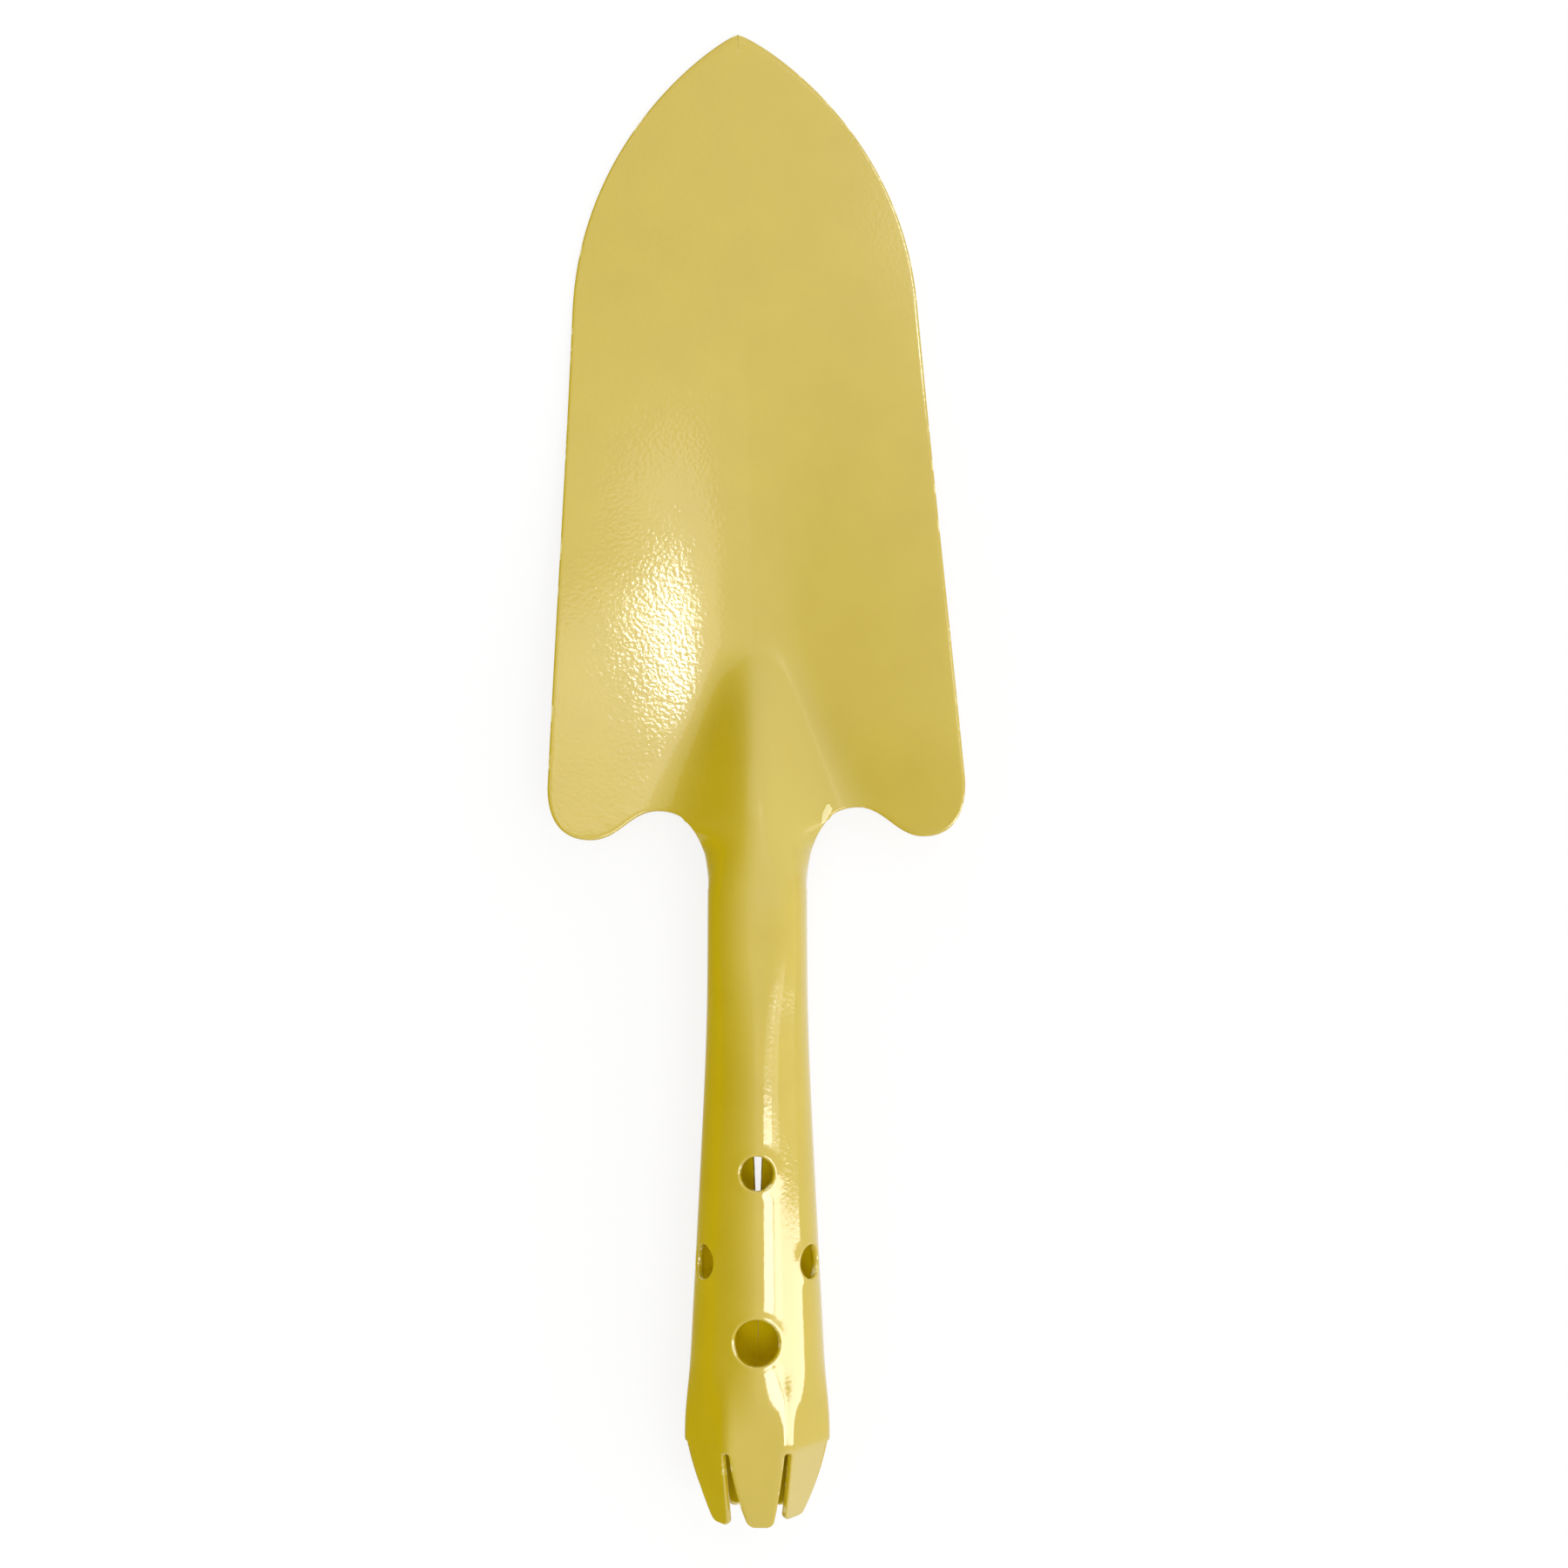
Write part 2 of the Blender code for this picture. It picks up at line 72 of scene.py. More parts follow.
# Blade outline
BLADE_LENGTH = 143.7 * MM
BLADE_WIDTH = 78.0 * MM
ARCH_LENGTH = 52.2 * MM
ARCH_WIDTH = 66.0 * MM
TIP_SLOPE = math.radians(13.5)
ARCH_SIDE_PULL = 34.0 * MM
ARCH_TIP_PULL = 3.8 * MM
SHOULDER_RADIUS = 8.0 * MM
SHOULDER_DROP = 10.1 * MM
NOTCH_SPREAD = 37.4 * MM
NOTCH_SET_BACK = 4.7 * MM
CORNER_PULL = 0.65
WAVE_PULL = 0.42
FLARE_PULL_ACROSS = 0.72
FLARE_PULL_DOWN = 0.58
HEEL_CUT = 6.5 * MM

# Blade form. The rounding at the foot of the dish's walls opens by a share of the way past the ridge
FLAT_TIP_LENGTH = 33.7 * MM
DISH_FULL_AT = 10.0 * MM
DISH_SLOPE = 0.20
DISH_WALL_START = 7.7 * MM
DISH_ROUNDING = 4.0 * MM
DISH_OPENING = 0.11
DISH_RELAX = 1.35
KEEL_SLOPE = 0.115
KEEL_BEND_LENGTH = 55.0 * MM
BLADE_LEAN = math.radians(1.47)
LEAN_START = 22.0 * MM
LEAN_PIVOT = 9.0 * MM

# Ridge that carries the handle's front into the dish
RIDGE_LENGTH = 34.0 * MM
RIDGE_HEIGHT = 10.0 * MM
RIDGE_TIP_WIDTH = 12.0 * MM
RIDGE_HEEL_WIDTH = 33.0 * MM
RIDGE_EASE = 1.7
RIDGE_FOOT = 0.2
RIDGE_SPREAD_LEFT = 1.85
RIDGE_POWER_LEFT = 5.0
RIDGE_SPREAD_RIGHT = 1.35
RIDGE_POWER_RIGHT = 3.6

# Neck and handle
NECK_RADIUS = 9.2 * MM
NECK_STRAIGHT_AT = 19.6 * MM
HANDLE_LENGTH = 120.2 * MM
HANDLE_LEVEL_AT = 60.0 * MM
CONE_START = 45.0 * MM
CONE_ROUNDING = 12.0 * MM
END_RADIUS = 13.9 * MM
SEAM_GAP = 0.05 * MM
SEAM_CLOSED_LENGTH = 30.0 * MM
SEAM_TAPER = 0.074
SEAM_EDGE_RADIUS = 0.05 * MM
SEAM_EDGE_EASE = 8.0 * MM

# The seam's smaller rounding stops this many edge radii before the slots start
SEAM_EDGE_STOP = 1.2

# Flattened front of the neck: how square its section gets, where, and over what length
ROUND = 2.0
NECK_SQUARENESS = 1.0
NECK_SQUAREST_AT = 26.0 * MM
NECK_SQUARE_REACH = 14.0 * MM

# Fingers that close the handle's end
FINGER_COUNT = 7
FINGER_LENGTH = 15.9 * MM
FINGER_TAPER_START = 0.10
FINGER_NARROWING = 6.5
FINGER_CORNER = 1.3 * MM
FINGER_BEND = math.radians(9)
FINGER_CURL = math.radians(14)
SLOT_WIDTH = 1.3 * MM
SLOT_START = 1.2 * MM
FACET_LENGTH = 15.0 * MM
CORNER_ROUNDING = 0.15 * MM

# How far a finger's end stands outward and sideways of the regular pattern, and how much shorter it is,
# by its place round the handle from the front one
FINGER_SET = {
    0: (0.0, 0.7 * MM, 0.0),
    -1: (0.5 * MM, -0.3 * MM, 0.0),
    1: (0.2 * MM, 0.3 * MM, 1.1 * MM),
}

# Holes in the handle: radius, distance from the bend at its end, angle from its front
HANGING_HOLE = (4.2 * MM, 18.8 * MM, 0.0)
FRONT_HOLE = (3.1 * MM, 49.3 * MM, 0.0)
LEFT_HOLE = (3.1 * MM, 32.4 * MM, -math.radians(60))
RIGHT_HOLE = (3.1 * MM, 32.4 * MM, math.radians(60))
HOLES = (HANGING_HOLE, FRONT_HOLE, LEFT_HOLE, RIGHT_HOLE)
HOLE_MARGIN = 2.2 * MM
HOLE_LIP_HEIGHT = 0.12 * MM
HOLE_LIP_WIDTH = 0.9 * MM

# Dull hollow right of the ridge: from before its tip to where it has faded on the neck, across from just
# left of the crest, and out to these shares of the ridge's half width, which is less on the neck
VALLEY_REACH = 8.0 * MM
VALLEY_EASE = 10.0 * MM
VALLEY_NECK_END = 28.0 * MM
VALLEY_LEFT = -3.0 * MM
VALLEY_RIGHT = 1.2 * MM
VALLEY_WIDTH = 0.95
VALLEY_END = 1.5
VALLEY_ON_NECK = 0.25

# Where the coating pooled and dried thick: how far right it starts on the fingers and on the neck
POOL_START = 4.0 * MM
POOL_EASE = 1.5 * MM
NECK_POOL_START = 7.0 * MM

# Strength of the orange peel: full on the left, weaker on the right
PEEL_FULL_TO = -12.0 * MM
PEEL_LOW_FROM = 2.0 * MM
PEEL_RIGHT = 0.4

# Coarse patches in the coating: place across and along, then width and length
COARSE_PATCHES = (
    (5.0 * MM, -68.0 * MM, 3.0 * MM, 8.0 * MM),
    (-33.0 * MM, -4.0 * MM, 9.0 * MM, 7.0 * MM),
)

# Drops in the coating: place across and along, width and height
COATING_DROPS = (
    (12.9 * MM, -5.7 * MM, 0.75 * MM, 0.26 * MM),
    (13.0 * MM, -4.6 * MM, 0.5 * MM, 0.22 * MM),
    (12.4 * MM, -6.9 * MM, 0.6 * MM, 0.18 * MM),
    (-31.0 * MM, -8.6 * MM, 0.7 * MM, 0.05 * MM),
    (-27.5 * MM, -7.0 * MM, 0.6 * MM, 0.045 * MM),
    (-24.5 * MM, -5.6 * MM, 0.6 * MM, 0.045 * MM),
)

# The height at which a drop's painted glint is as pale as it gets, and how pale that painted glint is
# against edge wear
RUN_SHOWS = 0.06 * MM
DROP_PAINTED_GLINT = 1.7

# How much of the edges' wear reaches round onto the face
EDGE_WEAR_ON_FACE = 0.6

# Colours of the enamel: its mottle's two tones, inside the tube, in the dull hollow, where the paler colour
# is a painted reflection, and for edge wear, whose colour on the coating's drops is a painted glint.
# The inside is written brighter, which makes up for the little light that gets in
MOTTLE_STOPS = (
    (0.3, (0.502, 0.367, 0.003, 1.0)),
    (0.7, (0.526, 0.389, 0.006, 1.0)),
)
INSIDE_COLOUR = (1.0, 0.82, 0.004, 1.0)
HOLLOW_PAINTED_REFLECTION = (0.545, 0.435, 0.098, 1.0)
WORN_AND_GLINT_COLOUR = (0.76, 0.66, 0.27, 1.0)

# Grain of the enamel, in repeats to the metre, and the height of the orange peel
MOTTLE = {"Scale": 90.0, "Detail": 3.0}
CHIPS = {"Scale": 330.0, "Detail": 4.0}
PEEL = {"Scale": 1400.0, "Detail": 1.0, "Roughness": 0.4}
PEEL_HEIGHT = 0.021 * MM

# Gloss of the enamel. Roughness follows the mottle and rises in the dull hollow, on edge wear and on the
# drops' painted glint
ENAMEL_IOR = 1.95
ROUGHNESS_RANGE = {"To Min": 0.05, "To Max": 0.12}
HOLLOW_ROUGHNESS = 0.145
WEAR_AND_GLINT_ROUGHNESS = 0.12
WEAR_AND_GLINT_RANGE = {"From Min": 0.57, "From Max": 0.65}

# Reflection of the enamel. It fades on faces that lean left and are seen at a slant, drops in the dull
# hollow and rises where the coating pooled
LEE_RANGE = {"From Min": -0.4, "From Max": -0.68}
SLANT_RANGE = {"From Min": 0.12, "From Max": 0.3}
SHINE_RANGE = {"To Min": 0.5, "To Max": 0.004}
POOL_SHINE = 0.5
HOLLOW_RANGE = {"To Min": 1.0, "To Max": 0.2}

# Floor
FLOOR_HALF_WIDTH = 4.0
FLOOR_COLOUR = (0.9, 0.9, 0.9, 1.0)
FLOOR_ROUGHNESS = 0.9
FLOOR_WHITENING = 0.8

# World: its level from straight left through straight up to straight right
SIDE_TO_SIDE = {"From Min": -1.0, "From Max": 1.0}
WORLD_LEVELS = ((0.0, 0.02), (0.25, 0.3), (0.4, 0.56), (0.5, 0.85), (0.6, 0.91), (1.0, 1.0))
WORLD_STRENGTH = 1.19

# Camera, straight above. Sensor and lens in millimetres
CAMERA_PLACE = (5.16 * MM, -3.68 * MM, 462.0 * MM)
SENSOR_WIDTH = 36.0
LENS = 55.24

# Places that the lamps are aimed at
GRIP = (0.0, -90.0 * MM, 20.0 * MM)
DISH = (-20.0 * MM, 30.0 * MM, 10.0 * MM)
MIDDLE = (0.0, 0.0, 10.0 * MM)

# Fineness of the skin
ARCH_FLANK = 0.42
ARCH_ROWS = 18
SIDE_ROWS = 90
SIDE_CROWDING = 1.2
CORNER_ROWS = 9
WAVE_COLUMNS = 18
FLARE_COLUMNS = 7
FACET_COLUMNS = 14
NECK_ROWS = 44
HANDLE_ROWS = 190
SLOT_ROWS = 5
FINGER_ROWS = 18
FINGER_END_ROWS = 5
HOLE_RINGS = 6
HOLE_RING_EASE = 1.5
EDGE_STEPS = 4
SEARCH_STEPS = 40

FACET_ANGLE = 2 * math.pi / FINGER_COUNT
HALF_SHEET = SHEET / 2


def smooth_step(value, start, end):
    """0 at start, 1 at end, level at both."""
    t = min(max((value - start) / (end - start), 0.0), 1.0)
    return t * t * (3 - 2 * t)


def bezier(points, t):
    a, b, c, d = points
    s = 1 - t
    return a * s**3 + b * 3 * s * s * t + c * 3 * s * t * t + d * t**3


def spread(count):
    """Fractions from 0 to 1, count + 1 of them."""
    return [i / count for i in range(count + 1)]


# Blade outline, right half, in plan


def arch_curve():
    """From the end of the straight side up to the tip."""
    side = Vector((ARCH_WIDTH / 2, BLADE_LENGTH - ARCH_LENGTH))
    tip = Vector((0.0, BLADE_LENGTH))
    along_side = (side - Vector((BLADE_WIDTH / 2, 0.0))).normalized()
    down_edge = Vector((math.cos(TIP_SLOPE), -math.sin(TIP_SLOPE)))
    return side, side + along_side * ARCH_SIDE_PULL, tip + down_edge * ARCH_TIP_PULL, tip


def shoulder_curve():
    """From the widest line round the corner to the shoulder's lowest point."""
    side = Vector((BLADE_WIDTH / 2, 0.0))
    low = Vector((BLADE_WIDTH / 2 - SHOULDER_RADIUS, -SHOULDER_DROP))
    down = Vector((0.0, -SHOULDER_DROP * CORNER_PULL))
    across = Vector((SHOULDER_RADIUS * CORNER_PULL, 0.0))
    return side, side + down, low + across, low


def wave_curve():
    """From the shoulder's lowest point up to the top of the notch."""
    low = Vector((BLADE_WIDTH / 2 - SHOULDER_RADIUS, -SHOULDER_DROP))
    notch = Vector((NOTCH_SPREAD / 2, -NOTCH_SET_BACK))
    pull = Vector(((low - notch).x * WAVE_PULL, 0.0))
    return low, low - pull, notch + pull, notch


def notch_curve():
    """From the top of the notch down the flare to the neck's straight side."""
    notch = Vector((NOTCH_SPREAD / 2, -NOTCH_SET_BACK))
    neck = Vector((NECK_RADIUS, -NECK_STRAIGHT_AT))
    across = Vector(((notch - neck).x * FLARE_PULL_ACROSS, 0.0))
    down = Vector((0.0, (notch - neck).y * FLARE_PULL_DOWN))
    return notch, notch - across, neck + down, neck


def flare_share(y):
    """How far along the notch curve it has come down to y."""
    low, high = 0.0, 1.0
    for _ in range(SEARCH_STEPS):
        middle = (low + high) / 2
        if bezier(notch_curve(), middle).y > y:
            low = middle
        else:
            high = middle
    return low


def flare_half_width(y):
    """Half the neck's width at y, read from the notch curve."""
    if y <= -NECK_STRAIGHT_AT:
        return tube_radius(y)
    return bezier(notch_curve(), flare_share(y)).x


def inset(line, before, after):
    """The line moved in by the edge radius, so that the rounded edge comes out to the true outline."""
    padded = [before] + line + [after]
    moved = []
    for i, point in enumerate(line):
        along = (padded[i + 2] - padded[i]).normalized()
        moved.append(point + Vector((along.y, -along.x)) * EDGE_RADIUS)
    return moved


def right_border():
    """The blade's right border, moved in: arch, side, corner, wave and flare, as one line from the tip."""
    arch_top = [bezier(arch_curve(), 1 - (1 - ARCH_FLANK) * t) for t in spread(heel_count())]
    arch_flank = [bezier(arch_curve(), ARCH_FLANK * (1 - t)) for t in spread(ARCH_ROWS)][1:]
    side_top = arch_flank[-1]
    side_end = Vector((BLADE_WIDTH / 2, 0.0))
    straight = [side_top.lerp(side_end, 1 - (1 - t) ** SIDE_CROWDING) for t in spread(SIDE_ROWS)][1:]
    corner = [bezier(shoulder_curve(), t) for t in spread(2 * CORNER_ROWS)][1:]
    wave = [bezier(wave_curve(), t) for t in spread(WAVE_COLUMNS)][1:]
    cut_share = flare_share(-HEEL_CUT)
    flare = [bezier(notch_curve(), cut_share * t) for t in spread(FLARE_COLUMNS)][1:]
    line = arch_top + arch_flank + straight + corner + wave + flare
    mirrored_second = Vector((-line[1].x, line[1].y))
    below = bezier(notch_curve(), cut_share + 1 / WAVE_COLUMNS)
    return inset(line, mirrored_second, below)


def heel_count():
    """Columns in half the blade: corner, wave, flare and half of the ridge's cut."""
    return CORNER_ROWS + WAVE_COLUMNS + FLARE_COLUMNS + FINGER_COUNT * FACET_COLUMNS // 2


# Blade height


def keel_height(y):
    """Rise of the sheet's middle along the blade's centre line: level at the tip, then an even slope."""
    bend_start = BLADE_LENGTH - FLAT_TIP_LENGTH - DISH_FULL_AT
    distance = bend_start - y
    if distance <= 0:
        return HALF_SHEET
    if distance < KEEL_BEND_LENGTH:
        return HALF_SHEET + KEEL_SLOPE * distance**2 / (2 * KEEL_BEND_LENGTH)
    return HALF_SHEET + KEEL_SLOPE * (distance - KEEL_BEND_LENGTH / 2)


def dish_height(x, y):
    """Rise of the dish's walls beside the centre line."""
    dish_start = BLADE_LENGTH - FLAT_TIP_LENGTH
    share = smooth_step(dish_start - y, 0.0, dish_start - DISH_FULL_AT)
    rounding = DISH_ROUNDING + DISH_OPENING * max(y - RIDGE_LENGTH, 0.0)

    def climbed(across):
        past = across - DISH_WALL_START
        return (past + math.hypot(past, rounding)) / 2

    wall = DISH_SLOPE * (climbed(abs(x)) - climbed(0.0))
    return share * (wall - DISH_RELAX * x * x)


def ridge_height(x, y):
    """Rise of the ridge, a rounded hump that widens and climbs towards the heel."""
    reach = RIDGE_LENGTH - HEEL_CUT - y
    t = max(reach / RIDGE_LENGTH, 0.0)
    t = (math.hypot(t, RIDGE_FOOT) - RIDGE_FOOT) / (math.hypot(1.0, RIDGE_FOOT) - RIDGE_FOOT)
    height = RIDGE_HEIGHT * (1 - (1 - min(t, 1.0)) ** RIDGE_EASE)
    half_width = (RIDGE_TIP_WIDTH + (RIDGE_HEEL_WIDTH - RIDGE_TIP_WIDTH) * t) / 2
    spread_out, power = RIDGE_SPREAD_RIGHT, RIDGE_POWER_RIGHT
    if x < 0:
        spread_out, power = RIDGE_SPREAD_LEFT, RIDGE_POWER_LEFT
    u = abs(x) / (half_width * spread_out)
    if u >= 1:
        return 0.0
    return height * math.cos(math.pi * u / 2) ** power


def blade_height(x, y):
    return keel_height(y) + dish_height(x, y) + ridge_height(x, y)


def lean(point):
    """Turns the blade a little in its own plane, as the photographed trowel's is."""
    angle = BLADE_LEAN * smooth_step(point.y, -LEAN_START, LEAN_START - 2 * LEAN_PIVOT)
    pivot = Vector((0.0, -LEAN_PIVOT, 0.0))
    return Matrix.Rotation(angle, 3, "Z") @ (point - pivot) + pivot


# Handle sections


def tube_radius(y):
    """Outer radius of the rolled handle: even at the neck, then a cone up to the bend at the end."""
    def grown(distance):
        return (distance + math.hypot(distance, CONE_ROUNDING)) / 2

    flat_to_round = math.cos(FACET_ANGLE / 2)
    end = END_RADIUS * (1 + flat_to_round) / 2
    slope = (end - NECK_RADIUS) / grown(HANDLE_LENGTH - CONE_START)
    return NECK_RADIUS + slope * grown(-y - CONE_START)


def facet_share(y):
    """0 where the tube is round, 1 where its end has a flat for each finger."""
    return smooth_step(-y, HANDLE_LENGTH - FACET_LENGTH, HANDLE_LENGTH)


def facet_offset(angle):
    """Angle from the middle of the nearest flat. One flat faces the front."""
    return (angle + FACET_ANGLE / 2) % FACET_ANGLE - FACET_ANGLE / 2


def front_fullness(angle, y):
    """How far the flattened front of the neck stands outside a round section, as a ratio."""
    if abs(angle) >= math.pi / 2:
        return 1.0
    away = (-y - NECK_SQUAREST_AT) / NECK_SQUARE_REACH
    power = ROUND + NECK_SQUARENESS * math.exp(-away * away)
    return (abs(math.sin(angle)) ** power + math.cos(angle) ** power) ** (-1 / power)


def section_radius(angle, y):
    """Outer radius of the tube at an angle from its front."""
    apothem = END_RADIUS * math.cos(FACET_ANGLE / 2)
    flat = min(apothem / math.cos(facet_offset(angle)), END_RADIUS - CORNER_ROUNDING)
    share = facet_share(y)
    return tube_radius(y) * front_fullness(angle, y) * (1 - share) + flat * share


def handle_axis_height(y):
    """Height of the tube's axis: level along the grip, dipping to meet the ridge at the neck."""
    grip = END_RADIUS - CORNER_ROUNDING
    heel = blade_height(0.0, -HEEL_CUT) - NECK_RADIUS + HALF_SHEET
    span = HANDLE_LEVEL_AT - HEEL_CUT
    t = min(max((-HEEL_CUT - y) / span, 0.0), 1.0)
    start_slope = KEEL_SLOPE * span
    return heel + start_slope * (t**3 - 2 * t**2 + t) + (grip - heel) * (3 * t**2 - 2 * t**3)


def seam_half_gap(y):
    """Half the open seam at the back: wide at the neck, closing towards the handle's end."""
    open_from = HANDLE_LENGTH - SEAM_CLOSED_LENGTH
    return (SEAM_GAP + SEAM_TAPER * max(open_from + y, 0.0)) / 2


def seam_edge_radius(y):
    """The rounding of the seam's edges: small where the seam is closed and they lie side by side."""
    open_from = HANDLE_LENGTH - SEAM_CLOSED_LENGTH
    share = smooth_step(open_from + y, -SEAM_EDGE_EASE / 2, SEAM_EDGE_EASE)
    return SEAM_EDGE_RADIUS + (EDGE_RADIUS - SEAM_EDGE_RADIUS) * share


def seam_angle(y):
    """Angle from the front to the sheet's edge at the seam."""
    middle_radius = tube_radius(y) - HALF_SHEET
    return math.pi - math.asin((seam_half_gap(y) + seam_edge_radius(y)) / middle_radius)


def wall_point(angle, y):
    """A point of the tube's sheet, halfway through it."""
    radius = section_radius(angle, y) - HALF_SHEET
    return Vector((radius * math.sin(angle), y, handle_axis_height(y) + radius * math.cos(angle)))


def widest_of(line):
    """The greatest x along a smooth line of points, read between them."""
    i = max(range(len(line)), key=lambda k: line[k][0])
    if i == len(line) - 1:
        return line[i][0]
    before, here, after = line[i - 1][0], line[i][0], line[i + 1][0]
    bend = before - 2 * here + after
    return here - (after - before) ** 2 / (8 * bend) if bend else here


def neck_side(y, side, count):
    """Half a section of the neck, crest to edge: the ridge's hump rolling over into the tube."""
    rolled = smooth_step(-y, HEEL_CUT, NECK_STRAIGHT_AT)
    half_width = flare_half_width(y) - HALF_SHEET * rolled - EDGE_RADIUS * (1 - rolled)
    turn = side * seam_angle(y) / count
    tube = [wall_point(turn * i, y) for i in range(count + 1)]
    line = [(0.0, 0.0)]
    for i in range(count):
        near, far = half_width * i / count, half_width * (i + 1) / count
        fall = blade_height(side * far, y) - blade_height(side * near, y)
        away = side * (tube[i + 1].x - tube[i].x)
        drop = tube[i + 1].z - tube[i].z
        slope = math.atan2(fall, far - near) * (1 - rolled) + math.atan2(drop, away) * rolled
        length = math.hypot(far - near, fall) * (1 - rolled) + math.hypot(away, drop) * rolled
        x, z = line[-1]
        line.append((x + length * math.cos(slope), z + length * math.sin(slope)))
    grown = half_width / widest_of(line)
    crest = blade_height(0.0, y) * (1 - rolled) + tube[0].z * rolled
    return [Vector((side * x * grown, y, crest + z * grown)) for x, z in line]


def neck_row(y, columns):
    """A section of the neck, as wide as the notch curve says, from left edge to right edge."""
    left = neck_side(y, -1, columns // 2)
    return left[:0:-1] + neck_side(y, 1, columns // 2)


# The skin's grid


class Skin:
    """Points and four-sided faces of the sheet's middle surface."""

    def __init__(self):
        self.points = []
        self.faces = []

    def add(self, point):
        self.points.append(lean(point))
        return len(self.points) - 1

    def add_row(self, row):
        return [self.add(point) for point in row]

    def join(self, above, below):
        """Faces between two rows of point numbers, the upper row nearer the blade's tip."""
        for i in range(len(above) - 1):
            self.faces.append((above[i], below[i], below[i + 1], above[i + 1]))


def blade_rows():
    """A patch stretched between the arch, the two sides and the heel, lifted to its height."""
    border = right_border()
    count = heel_count()
    arch = border[: count + 1]
    side = border[count : count + ARCH_ROWS + SIDE_ROWS + CORNER_ROWS + 1]
    heel = border[count + ARCH_ROWS + SIDE_ROWS + CORNER_ROWS :]
    cut_end = heel[-1]
    half_cut = FINGER_COUNT * FACET_COLUMNS // 2
    heel = heel + [Vector((cut_end.x * (1 - t), -HEEL_CUT)) for t in spread(half_cut)][1:]
    # The border was moved in by the edge radius. Its two ends go back onto the cut and the centre line
    heel[-half_cut - 1].y = -HEEL_CUT
    arch[0].x = 0.0
    top = [Vector((-point.x, point.y)) for point in reversed(arch)] + arch[1:]
    bottom = [Vector((-point.x, point.y)) for point in heel] + list(reversed(heel[:-1]))
    left = [Vector((-point.x, point.y)) for point in side]
    rows = []
    for j, v in enumerate(spread(len(side) - 1)):
        row = []
        for i, u in enumerate(spread(len(top) - 1)):
            between = top[i] * (1 - v) + bottom[i] * v + left[j] * (1 - u) + side[j] * u
            top_corners = top[0] * (1 - u) + top[-1] * u
            bottom_corners = bottom[0] * (1 - u) + bottom[-1] * u
            spot = between - (top_corners * (1 - v) + bottom_corners * v)
            row.append(Vector((spot.x, spot.y, blade_height(spot.x, spot.y))))
        rows.append(row)
    return rows


def in_hole_block(block, row, column):
    first_row, last_row, first_column, last_column = block
    return first_row <= row < last_row and first_column <= column < last_column


def hole_block(hole, stations, shares):
    """The block of grid cells round a hole: first and last row and column."""
    radius, set_back, angle = hole
    y = set_back - HANDLE_LENGTH
    reach = radius + EDGE_RADIUS + HOLE_MARGIN
    turn = reach / tube_radius(y)
    rows = [i for i, station in enumerate(stations) if abs(-station - y) <= reach]
    last = seam_angle(y)
    columns = [i for i, share in enumerate(shares) if abs(share * last - angle) <= turn]
    return rows[0], rows[-1], columns[0], columns[-1]


def lip(distance):
    """How far the sheet stands out beside a punched hole, at a distance from the hole's edge."""
    return HOLE_LIP_HEIGHT * math.exp(-((distance / HOLE_LIP_WIDTH) ** 2))


def block_outline(block):
    """The grid places round a block's edge, in order."""
    first_row, last_row, first_column, last_column = block
    outline = [(first_row, i) for i in range(first_column, last_column)]
    outline += [(j, last_column) for j in range(first_row, last_row)]
    outline += [(last_row, i) for i in range(last_column, first_column, -1)]
    outline += [(j, first_column) for j in range(last_row, first_row, -1)]
    return outline


def fill_round_hole(skin, hole, block, numbers, stations, shares):
    """Rings of faces between a block's outline and the round hole inside it."""
    radius, set_back, angle = hole
    centre_y = set_back - HANDLE_LENGTH
    outline = block_outline(block)
    wall = tube_radius(centre_y)
    rim = radius + EDGE_RADIUS
    ring = [numbers[j][i] for j, i in outline]
    starts = []
    ends = []
    for j, i in outline:
        y = -stations[j]
        turn = shares[i] * seam_angle(y)
        across = wall * math.sin(turn - angle)
        along = y - centre_y
        scale = rim / math.hypot(across, along)
        starts.append((turn, y))
        ends.append((angle + math.asin(across * scale / wall), centre_y + along * scale))
    for k in range(1, HOLE_RINGS + 1):
        t = 1 - (1 - k / HOLE_RINGS) ** HOLE_RING_EASE
        inner = []
        for (turn_a, y_a), (turn_b, y_b) in zip(starts, ends):
            turn = turn_a + (turn_b - turn_a) * t
            y = y_a + (y_b - y_a) * t
            point = wall_point(turn, y)
            distance = math.hypot(wall * math.sin(turn - angle), y - centre_y) - rim
            outward = Vector((math.sin(turn), 0.0, math.cos(turn)))
            inner.append(skin.add(point + outward * lip(distance)))
        for a in range(len(ring)):
            b = (a + 1) % len(ring)
            skin.faces.append((ring[b], ring[a], inner[a], inner[b]))
        ring = inner


# Fingers


def end_inset(distance, length):
    """How far in a finger has come at a distance past the bend at the handle's end."""
    t = min(distance / length, 1.0)
    return distance * math.tan(FINGER_BEND + FINGER_CURL * t / 2)


def finger_half_width(distance, length):
    """Half a finger's width at a distance past the bend, moved in by the edge radius."""
    root = END_RADIUS * math.sin(FACET_ANGLE / 2) - SLOT_WIDTH / 2 - HALF_SHEET * math.tan(FACET_ANGLE / 2)
    past_root = max(distance - SLOT_START, 0.0)
    width = root - FINGER_TAPER_START * past_root - FINGER_NARROWING * past_root**2 - EDGE_RADIUS
    corner = FINGER_CORNER - EDGE_RADIUS
    into_corner = distance - (length - corner)
    if into_corner > 0:
        width -= corner - math.sqrt(max(corner**2 - into_corner**2, 0.0))
    return width


